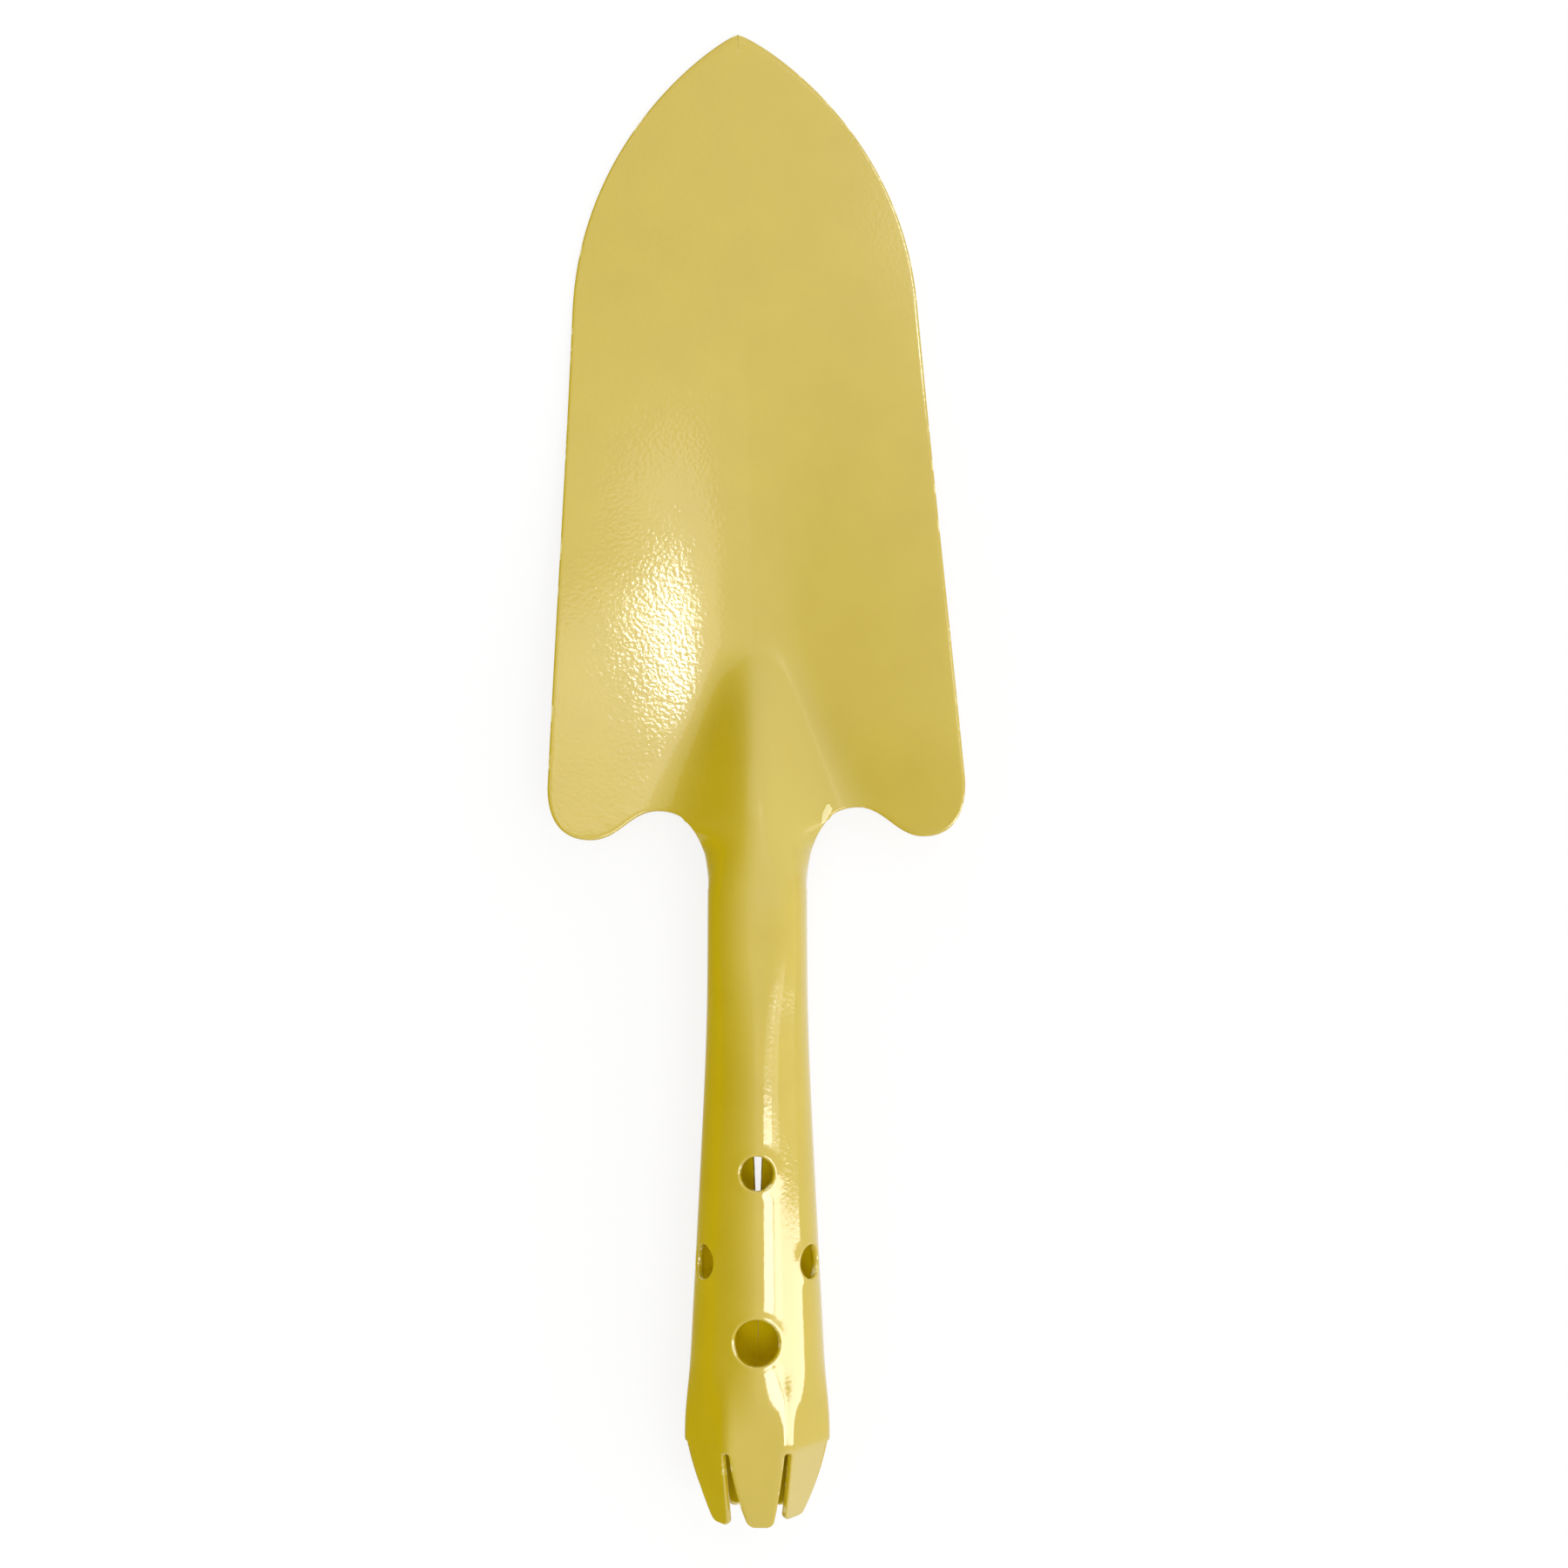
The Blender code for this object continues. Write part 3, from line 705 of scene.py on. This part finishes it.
def finger_distances(length):
    """Distances of a finger's rows past the bend, the rounded slot's rows first."""
    top = SLOT_START - EDGE_RADIUS
    radius = SLOT_WIDTH / 2 + EDGE_RADIUS
    corner = FINGER_CORNER - EDGE_RADIUS
    slot = [top + radius * (1 - math.cos(t * math.pi / 2)) for t in spread(SLOT_ROWS)]
    straight = length - corner
    middle = [slot[-1] + (straight - slot[-1]) * t for t in spread(FINGER_ROWS)][1:]
    end = [straight + corner * math.sin(t * math.pi / 2) for t in spread(FINGER_END_ROWS)][1:]
    return slot + middle + end


def add_fingers(skin, bend_row, seam_closed):
    """Tapering tabs that carry the tube's flats on and in, with a round-topped slot between each two."""
    apothem = END_RADIUS * math.cos(FACET_ANGLE / 2) - HALF_SHEET
    steps = [2 * t - 1 for t in spread(FACET_COLUMNS)]
    tilts = [math.tan(step * FACET_ANGLE / 2) / math.tan(FACET_ANGLE / 2) for step in steps]
    top = SLOT_START - EDGE_RADIUS
    radius = SLOT_WIDTH / 2 + EDGE_RADIUS

    def finger_point(place, tilt, distance, length, settings):
        stands_out, sideways, _ = settings
        angle = place * FACET_ANGLE
        outward = Vector((math.sin(angle), 0.0, math.cos(angle)))
        across = Vector((math.cos(angle), 0.0, -math.sin(angle)))
        y = -HANDLE_LENGTH - distance
        bent = end_inset(distance, length)
        swing = (max(distance - top, 0.0) / (length - top)) ** 2
        to_corner = (apothem - bent) * math.tan(FACET_ANGLE / 2)
        gap = to_corner - finger_half_width(distance, length)
        opened = min(max((distance - top) / radius, 0.0), 1.0)
        half_width = to_corner - gap * math.sqrt(max(1 - (1 - opened) ** 2, 0.0))
        middle = Vector((0.0, y, handle_axis_height(y))) + outward * (apothem - bent + stands_out * swing)
        return middle + across * (sideways * swing + half_width * tilt)

    regular = (0.0, 0.0, 0.0)
    half = FINGER_COUNT // 2
    shared = []
    previous = bend_row
    # The rows above the slots run right round. At the seam the two edges overlap a little
    for distance in (top / 2, top):
        row = []
        for place in range(-half, half + 1):
            columns = tilts if place == -half else tilts[1:]
            row += [finger_point(place, tilt, distance, FINGER_LENGTH, regular) for tilt in columns]
        for end, sign in ((0, 1), (-1, -1)):
            row[end].x += sign * seam_closed
        numbers = skin.add_row(row)
        skin.join(previous, numbers)
        previous = numbers
        shared = numbers
    for place in range(-half, half + 1):
        settings = FINGER_SET.get(place, regular)
        length = FINGER_LENGTH - settings[2] - EDGE_RADIUS
        first = (place + half) * FACET_COLUMNS
        above = shared[first : first + FACET_COLUMNS + 1]
        for distance in finger_distances(length)[1:]:
            row = [finger_point(place, tilt, distance, length, settings) for tilt in tilts]
            below = skin.add_row(row)
            skin.join(above, below)
            above = below


def trowel_skin():
    """The whole pressing's middle surface: blade, neck, handle with its holes, and fingers."""
    skin = Skin()
    columns = FINGER_COUNT * FACET_COLUMNS
    shares = [2 * t - 1 for t in spread(columns)]
    rows = blade_rows()
    numbers = [skin.add_row(row) for row in rows]
    for above, below in zip(numbers, numbers[1:]):
        skin.join(above, below)
    heel = numbers[-1]
    margin = (len(heel) - 1 - columns) // 2
    previous = heel[margin : margin + columns + 1]

    for t in spread(NECK_ROWS)[1:]:
        station = HEEL_CUT + (NECK_STRAIGHT_AT - HEEL_CUT) * t
        row = skin.add_row(neck_row(-station, columns))
        skin.join(previous, row)
        previous = row

    stations = [NECK_STRAIGHT_AT + (HANDLE_LENGTH - NECK_STRAIGHT_AT) * t for t in spread(HANDLE_ROWS)]
    blocks = [hole_block(hole, stations, shares) for hole in HOLES]
    grid = [previous]
    for j, station in enumerate(stations[1:], start=1):
        row = []
        for i, share in enumerate(shares):
            inside = any(top < j < bottom and left < i < right for top, bottom, left, right in blocks)
            row.append(None if inside else skin.add(wall_point(share * seam_angle(-station), -station)))
        grid.append(row)
    for j in range(len(grid) - 1):
        for i in range(columns):
            if not any(in_hole_block(block, j, i) for block in blocks):
                skin.faces.append((grid[j][i], grid[j + 1][i], grid[j + 1][i + 1], grid[j][i + 1]))
    for hole, block in zip(HOLES, blocks):
        fill_round_hole(skin, hole, block, grid, stations, shares)
    add_fingers(skin, grid[-1], SEAM_GAP / 2 + SEAM_EDGE_RADIUS)
    return np.array([tuple(point) for point in skin.points]), np.array(skin.faces)


# From sheet to solid


def vertex_normals(points, faces):
    a, b, c, d = (points[faces[:, i]] for i in range(4))
    facing = np.cross(c - a, d - b)
    normals = np.zeros_like(points)
    for i in range(4):
        np.add.at(normals, faces[:, i], facing)
    return normals / np.linalg.norm(normals, axis=1, keepdims=True)


def border_of(faces):
    """The border's directed edges, a row of two point numbers for each."""
    starts = faces.ravel()
    ends = np.roll(faces, -1, axis=1).ravel()
    pairs = set(zip(starts.tolist(), ends.tolist()))
    return np.array(sorted(pair for pair in pairs if (pair[1], pair[0]) not in pairs))


def edge_radius(point):
    """The rounding of the sheet's edge at a border point, which is less where the seam is closed."""
    x, y, z = point
    at_back = abs(x) < NECK_RADIUS / 2 and z < handle_axis_height(y)
    stop = -HANDLE_LENGTH - SLOT_START + EDGE_RADIUS * SEAM_EDGE_STOP
    if at_back and -NECK_STRAIGHT_AT > y > stop:
        return seam_edge_radius(y)
    return EDGE_RADIUS


def thickened(points, faces):
    """Both faces of the sheet and a rounded edge round every border, with the coating's shares."""
    normals = vertex_normals(points, faces)
    count = len(points)
    rim, following = border_of(faces).T
    before = np.full(count, -1)
    after = np.full(count, -1)
    after[rim] = following
    before[following] = rim
    along = points[after[rim]] - points[before[rim]]
    outward = np.cross(along, normals[rim])
    outward /= np.linalg.norm(outward, axis=1, keepdims=True)

    edge = np.array([[edge_radius(point)] for point in points[rim]])
    runs = np.array([run_height(x, y) for x, y, _ in points])
    layers = [points + normals * (HALF_SHEET + runs[:, None]), points - normals * HALF_SHEET]
    turns = [t * math.pi / 2 for t in spread(EDGE_STEPS)][1:]
    profile = [(edge * math.sin(turn), HALF_SHEET - edge * (1 - math.cos(turn))) for turn in turns]
    profile += [(out, -height) for out, height in reversed(profile)]
    for out, height in profile:
        layers.append(points[rim] + outward * out + normals[rim] * height)
    solid_points = np.concatenate(layers)

    place = np.full(count, -1)
    place[rim] = np.arange(len(rim))
    follow = place[after[rim]]
    between = [2 * count + k * len(rim) + np.arange(len(rim)) for k in range(len(profile))]
    rings = [rim] + between + [rim + count]
    solid = [faces, faces[:, ::-1] + count]
    for upper, lower in zip(rings, rings[1:]):
        solid.append(np.stack([upper[follow], upper, lower, lower[follow]], axis=1))
    return solid_points, np.concatenate(solid), coating_shares(points, rim, runs, len(solid_points))


def fitted(points, cad_low, cad_high):
    """The points in the middle of the CAD model's box, drawn in where they would stand out of it."""
    cad_low, cad_high = np.array(cad_low), np.array(cad_high)
    low, high = points.min(axis=0), points.max(axis=0)
    fit = np.minimum((cad_high - cad_low) / (high - low), 1.0)
    moved = (points - (low + high) / 2) * fit + (cad_low + cad_high) / 2
    moved[:, 2] += cad_low[2] - moved[:, 2].min()
    return moved


def mesh_object(name, points, faces):
    mesh = bpy.data.meshes.new(name)
    mesh.from_pydata(points.tolist(), [], faces.tolist())
    mesh.validate()
    mesh.shade_smooth()
    obj = bpy.data.objects.new(name, mesh)
    bpy.context.scene.collection.objects.link(obj)
    return obj


# How the coating varies


def valley_share(x, y):
    """1 in the hollow right of the ridge and round the neck's start, where the coating is dull and its paler
    colour is a painted reflection in place of the shine it loses.
    """
    reach = RIDGE_LENGTH - HEEL_CUT - y
    widening = (RIDGE_HEEL_WIDTH - RIDGE_TIP_WIDTH) * min(reach / RIDGE_LENGTH, 1.0)
    on_neck = smooth_step(-y, HEEL_CUT, NECK_STRAIGHT_AT)
    half_width = (RIDGE_TIP_WIDTH + widening) / 2 * (1 - (1 - VALLEY_ON_NECK) * on_neck)
    begun = smooth_step(reach, -VALLEY_REACH, VALLEY_EASE)
    not_ended = smooth_step(y, -VALLEY_NECK_END, -NECK_STRAIGHT_AT)
    on_right = smooth_step(x, VALLEY_LEFT, VALLEY_RIGHT) * (1 - min(run_height(x, y) / RUN_SHOWS, 1.0))
    return begun * not_ended * on_right * (1 - smooth_step(x / half_width, VALLEY_WIDTH, VALLEY_END))


def peel_share(x, y):
    """How strong the coating's orange peel is: full on the left and on the coarse patches."""
    coarse = 0.0
    for patch_x, patch_y, patch_width, patch_length in COARSE_PATCHES:
        away = ((x - patch_x) / patch_width) ** 2 + ((y - patch_y) / patch_length) ** 2
        coarse = max(coarse, math.exp(-away))
    even = 1 - (1 - PEEL_RIGHT) * smooth_step(x, PEEL_FULL_TO, PEEL_LOW_FROM)
    return max(even, coarse)


def run_height(x, y):
    """How far the coating stands up in the drops that set where it ran together."""
    rise = 0.0
    for drop_x, drop_y, drop_width, drop_height in COATING_DROPS:
        away = ((x - drop_x) ** 2 + (y - drop_y) ** 2) / drop_width**2
        rise += drop_height * math.exp(-away)
    return rise


def pooled_share(x, y):
    """1 where the coating dried thick: the right fingers and the neck's right side, fading down the grip."""
    right_fingers = smooth_step(x, POOL_START, POOL_START + POOL_EASE)
    on_fingers = smooth_step(-HANDLE_LENGTH - y, 0.0, POOL_EASE) * right_fingers
    right_neck = smooth_step(x, NECK_POOL_START, NECK_POOL_START + POOL_EASE)
    on_neck = smooth_step(-y, HEEL_CUT, NECK_STRAIGHT_AT)
    faded = smooth_step(-y, NECK_STRAIGHT_AT, HANDLE_LEVEL_AT)
    return max(on_fingers, on_neck * (1 - faded) * right_neck)


def coating_shares(points, rim, runs, total):
    """How the coating varies over the solid's points: the front face, then the back, then the edges."""
    count = len(points)
    front = slice(0, count)
    back = slice(count, 2 * count)
    along = points[:, 1]
    inside = np.zeros(total)
    inside[back] = (along < -HEEL_CUT) & (along > -HANDLE_LENGTH)
    valley = np.zeros(total)
    valley[front] = [valley_share(x, y) for x, y, _ in points]
    valley[back] = valley[front]
    pooled = np.zeros(total)
    pooled[front] = [pooled_share(x, y) for x, y, _ in points]
    peel = np.full(total, PEEL_RIGHT)
    peel[front] = [peel_share(x, y) for x, y, _ in points]
    edges = np.ones(total)
    # The drops on the face get this share too, which paints a glint on them
    edges[front] = DROP_PAINTED_GLINT * np.minimum(runs / RUN_SHOWS, 1.0)
    edges[back] = 0.0
    edges[rim] = EDGE_WEAR_ON_FACE
    return {"inside": inside, "valley": valley, "pooled": pooled, "peel": peel, "edges": edges}


# Materials


class Nodes:
    """The nodes of a material or the world. An input is given as a value, or as the output that feeds it."""

    def __init__(self, owner):
        owner.use_nodes = True
        self.tree = owner.node_tree

    def fill(self, node, inputs):
        for name, source in inputs.items():
            if isinstance(source, bpy.types.NodeSocket):
                self.tree.links.new(source, node.inputs[name])
            else:
                node.inputs[name].default_value = source

    def fill_named(self, name, inputs):
        self.fill(self.tree.nodes[name], inputs)

    def outputs(self, kind, inputs=None):
        """A new node's outputs."""
        node = self.tree.nodes.new(kind)
        self.fill(node, inputs or {})
        return node.outputs

    def share(self, name):
        """One of the values that the mesh holds for each point."""
        node = self.tree.nodes.new("ShaderNodeAttribute")
        node.attribute_name = name
        return node.outputs["Fac"]

    def noise(self, place, grain):
        return self.outputs("ShaderNodeTexNoise", {"Vector": place, **grain})["Fac"]

    def ranged(self, value, limits):
        """The value moved from one range to another, 0 to 1 where a range isn't given."""
        return self.outputs("ShaderNodeMapRange", {"Value": value, **limits})["Result"]

    def maths(self, operation, *values, clamped=False):
        node = self.tree.nodes.new("ShaderNodeMath")
        node.operation = operation
        node.use_clamp = clamped
        self.fill(node, dict(enumerate(values)))
        return node.outputs["Value"]

    def mixed(self, factor, first, second):
        """The first colour where the factor is 0, the second where it is 1."""
        node = self.tree.nodes.new("ShaderNodeMix")
        node.data_type = "RGBA"
        self.fill(node, {"Factor": factor, "A": first, "B": second})
        return node.outputs["Result"]

    def ramp(self, value, stops):
        """The colour of the stops at a value, which go from low to high."""
        node = self.tree.nodes.new("ShaderNodeValToRGB")
        self.fill(node, {"Fac": value})
        elements = node.color_ramp.elements
        while len(elements) < len(stops):
            elements.new(elements[-1].position)
        for element, (position, colour) in zip(elements, stops):
            element.position = position
            element.color = colour
        return node.outputs["Color"]


def enamel_material():
    material = bpy.data.materials.new("gold_enamel")
    enamel = Nodes(material)
    place = enamel.outputs("ShaderNodeTexCoord")
    mottle = enamel.noise(place["Object"], MOTTLE)
    valley = enamel.share("valley")
    # The share named edges gives the edges' wear, and on the coating's drops a painted glint
    bared_and_glint = enamel.maths("MULTIPLY", enamel.noise(place["Object"], CHIPS), enamel.share("edges"))
    worn_and_glint = enamel.ranged(bared_and_glint, WEAR_AND_GLINT_RANGE)
    bump = {
        "Strength": enamel.share("peel"),
        "Distance": PEEL_HEIGHT,
        "Height": enamel.noise(place["Object"], PEEL),
    }
    enamel.fill_named("Principled BSDF", {
        "Base Color": enamel_colour(enamel, mottle, valley, worn_and_glint),
        "Metallic": 0.0,
        "Roughness": enamel_roughness(enamel, mottle, valley, worn_and_glint),
        "IOR": ENAMEL_IOR,
        "Specular IOR Level": enamel_shine(enamel, place["Normal"], valley),
        "Normal": enamel.outputs("ShaderNodeBump", bump)["Normal"],
    })
    return material


def enamel_colour(enamel, mottle, valley, worn_and_glint):
    shaded = enamel.mixed(enamel.share("inside"), enamel.ramp(mottle, MOTTLE_STOPS), INSIDE_COLOUR)
    # In the hollow the paler colour is a painted reflection, and on the drops the wear colour is a painted
    # glint
    return enamel.mixed(worn_and_glint, enamel.mixed(valley, shaded, HOLLOW_PAINTED_REFLECTION), WORN_AND_GLINT_COLOUR)


def enamel_roughness(enamel, mottle, valley, worn_and_glint):
    dulled = enamel.maths("MULTIPLY_ADD", valley, HOLLOW_ROUGHNESS, enamel.ranged(mottle, ROUGHNESS_RANGE))
    return enamel.maths("MULTIPLY_ADD", worn_and_glint, WEAR_AND_GLINT_ROUGHNESS, dulled)


def enamel_shine(enamel, normal, valley):
    """How strongly the coating reflects."""
    lean_across = enamel.outputs("ShaderNodeSeparateXYZ", {"Vector": normal})["X"]
    slant = enamel.ranged(enamel.outputs("ShaderNodeLayerWeight")["Facing"], SLANT_RANGE)
    lee = enamel.maths("MULTIPLY", enamel.ranged(lean_across, LEE_RANGE), slant)
    shine = enamel.ranged(lee, SHINE_RANGE)
    wetter = enamel.maths("MULTIPLY_ADD", enamel.share("pooled"), POOL_SHINE, shine)
    return enamel.maths("MULTIPLY", wetter, enamel.ranged(valley, HOLLOW_RANGE))


def floor_material():
    """Pale. The eye and what is reflected or seen through get it nearly white, with the shadow kept."""
    material = bpy.data.materials.new("pale_floor")
    floor = Nodes(material)
    matte = {"Base Color": FLOOR_COLOUR, "Roughness": FLOOR_ROUGHNESS, "Specular IOR Level": 0.0}
    floor.fill_named("Principled BSDF", matte)
    path = floor.outputs("ShaderNodeLightPath")
    seen = floor.maths("ADD", path["Is Camera Ray"], path["Is Glossy Ray"])
    seen_or_through = floor.maths("ADD", seen, path["Is Transmission Ray"], clamped=True)
    blend = {
        "Fac": floor.maths("MULTIPLY", seen_or_through, FLOOR_WHITENING),
        1: floor.tree.nodes["Principled BSDF"].outputs["BSDF"],
        2: floor.outputs("ShaderNodeEmission")["Emission"],
    }
    floor.fill_named("Material Output", {"Surface": floor.outputs("ShaderNodeMixShader", blend)["Shader"]})
    return material


# Stage


def make_floor():
    size = FLOOR_HALF_WIDTH
    points = np.array([(-size, -size, 0.0), (size, -size, 0.0), (size, size, 0.0), (-size, size, 0.0)])
    floor = mesh_object("floor", points, np.array([(0, 1, 2, 3)]))
    floor.data.materials.append(floor_material())


def make_camera():
    data = bpy.data.cameras.new("camera")
    data.sensor_width = SENSOR_WIDTH
    data.lens = LENS
    camera = bpy.data.objects.new("camera", data)
    camera.location = CAMERA_PLACE
    bpy.context.scene.collection.objects.link(camera)
    bpy.context.scene.camera = camera


def softbox(name, target, turn, rise, distance, width, depth, radiance, roll=0.0, lights=True, shows=True):
    """A rectangular lamp, seen from its target at two angles from straight up: turn to +X, rise to +Y.

    It lights surfaces unless lights is false, and shows as a reflection unless shows is false.
    """
    turn, rise, roll = math.radians(turn), math.radians(rise), math.radians(roll)
    data = bpy.data.lights.new(name, "AREA")
    data.shape = "RECTANGLE"
    data.size = width
    data.size_y = depth
    data.energy = radiance * math.pi * width * depth
    towards = Vector((math.sin(turn) * math.cos(rise), math.sin(rise), math.cos(turn) * math.cos(rise)))
    across = Vector((math.cos(turn), 0.0, -math.sin(turn)))
    turned = Matrix((across, towards.cross(across), towards)).transposed() @ Matrix.Rotation(roll, 3, "Z")
    light = bpy.data.objects.new(name, data)
    light.matrix_world = Matrix.Translation(Vector(target) + towards * distance) @ turned.to_4x4()
    light.visible_diffuse = lights
    light.visible_glossy = shows
    bpy.context.scene.collection.objects.link(light)


def make_lamps():
    """Three for the strip and band on the handle, two for the highlight, one for a sheen, and two fills."""
    softbox("strip_right_high", GRIP, turn=21.8, rise=-9.7, distance=1.0,
            width=0.31, depth=0.31, radiance=4.9)
    softbox("strip_right_low", GRIP, turn=60.0, rise=-11.4, distance=1.0,
            width=1.06, depth=0.25, radiance=3.9, roll=-3.5, lights=False)
    softbox("strip_skirt", GRIP, turn=30.0, rise=-8.4, distance=1.0,
            width=0.56, depth=0.32, radiance=0.7, lights=False)
    softbox("small_box_above", DISH, turn=13.8, rise=19.2, distance=4.0,
            width=0.24, depth=0.6, radiance=11.0, roll=36.0)
    softbox("small_box_halo", DISH, turn=9.0, rise=16.5, distance=4.0,
            width=0.8, depth=0.85, radiance=0.6, lights=False)
    softbox("bank_above", DISH, turn=-4.0, rise=28.0, distance=1.5,
            width=1.1, depth=0.8, radiance=0.25, lights=False)
    softbox("fill_left", MIDDLE, turn=-75.0, rise=0.0, distance=2.0,
            width=1.2, depth=1.2, radiance=2.5, shows=False)
    softbox("fill_top", MIDDLE, turn=0.0, rise=0.0, distance=2.0,
            width=0.35, depth=0.35, radiance=17.0, shows=False)


def make_world():
    world = bpy.data.worlds.new("studio")
    bpy.context.scene.world = world
    studio = Nodes(world)
    direction = studio.outputs("ShaderNodeTexCoord")["Generated"]
    across = studio.outputs("ShaderNodeSeparateXYZ", {"Vector": direction})["X"]
    stops = [(position, (level, level, level, 1.0)) for position, level in WORLD_LEVELS]
    greys = studio.ramp(studio.ranged(across, SIDE_TO_SIDE), stops)
    studio.fill_named("Background", {"Color": greys, "Strength": WORLD_STRENGTH})


def main():
    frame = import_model()
    cad_low, cad_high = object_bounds()

    points, faces, shares = thickened(*trowel_skin())
    trowel = mesh_object("trowel_skin", fitted(points, cad_low, cad_high), faces)
    for name, values in shares.items():
        trowel.data.attributes.new(name, "FLOAT", "POINT").data.foreach_set("value", values)
    trowel.data.materials.append(enamel_material())
    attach(trowel, "root")
    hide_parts(*sorted(frame["nodes"]))

    make_floor()
    make_lamps()
    make_world()
    make_camera()
    bpy.context.scene.view_settings.view_transform = "Standard"


main()
